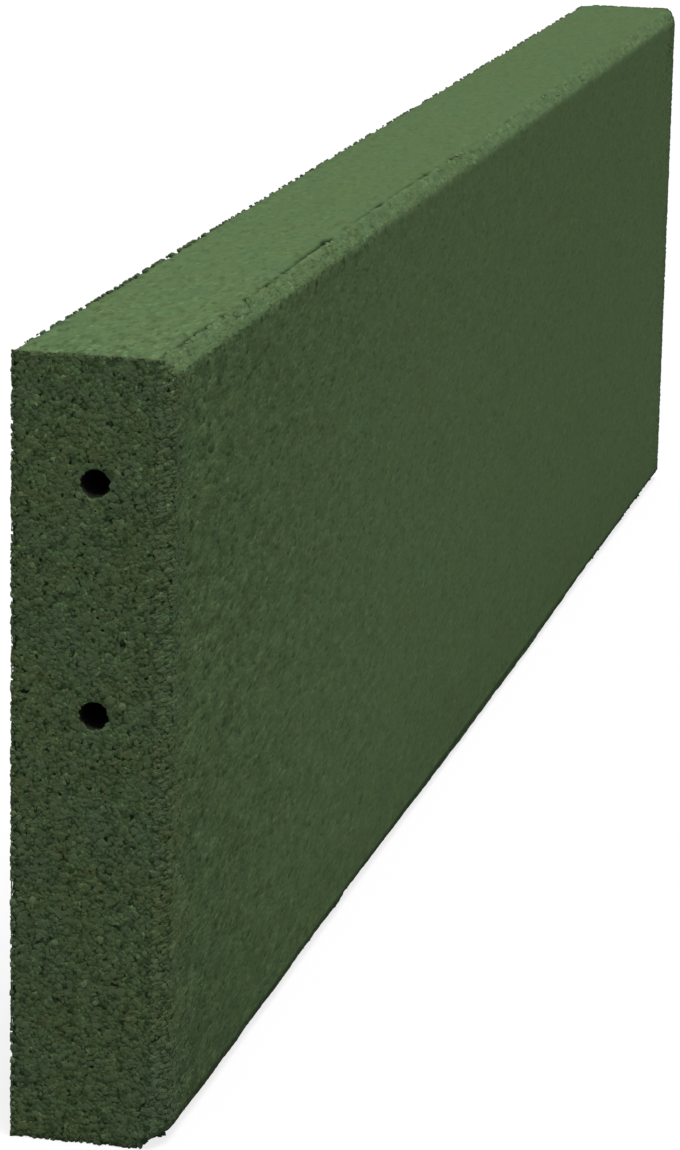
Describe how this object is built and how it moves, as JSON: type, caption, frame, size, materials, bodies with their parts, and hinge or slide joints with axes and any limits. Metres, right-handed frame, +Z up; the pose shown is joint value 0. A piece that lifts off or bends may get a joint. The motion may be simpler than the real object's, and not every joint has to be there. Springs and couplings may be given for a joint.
{
  "type": "rubber edging strip",
  "caption": "Long upright block of pressed green rubber granules, with a bevelled edge round one face and blind dowel holes in its ends.",
  "frame": {"origin": "on the ground, under the middle of the strip's length and thickness", "axes": "+X along the strip, -Y out of the show face with the bevelled edge, +Z up"},
  "size_m": [1, 0.05, 0.25],
  "materials": {
    "crumb_rubber": "matt pressed granules, smoother on the moulded faces and coarse on the ends"
  },
  "bodies": {
    "root": {"edging_strip": "crumb_rubber"}
  },
  "joints": []
}
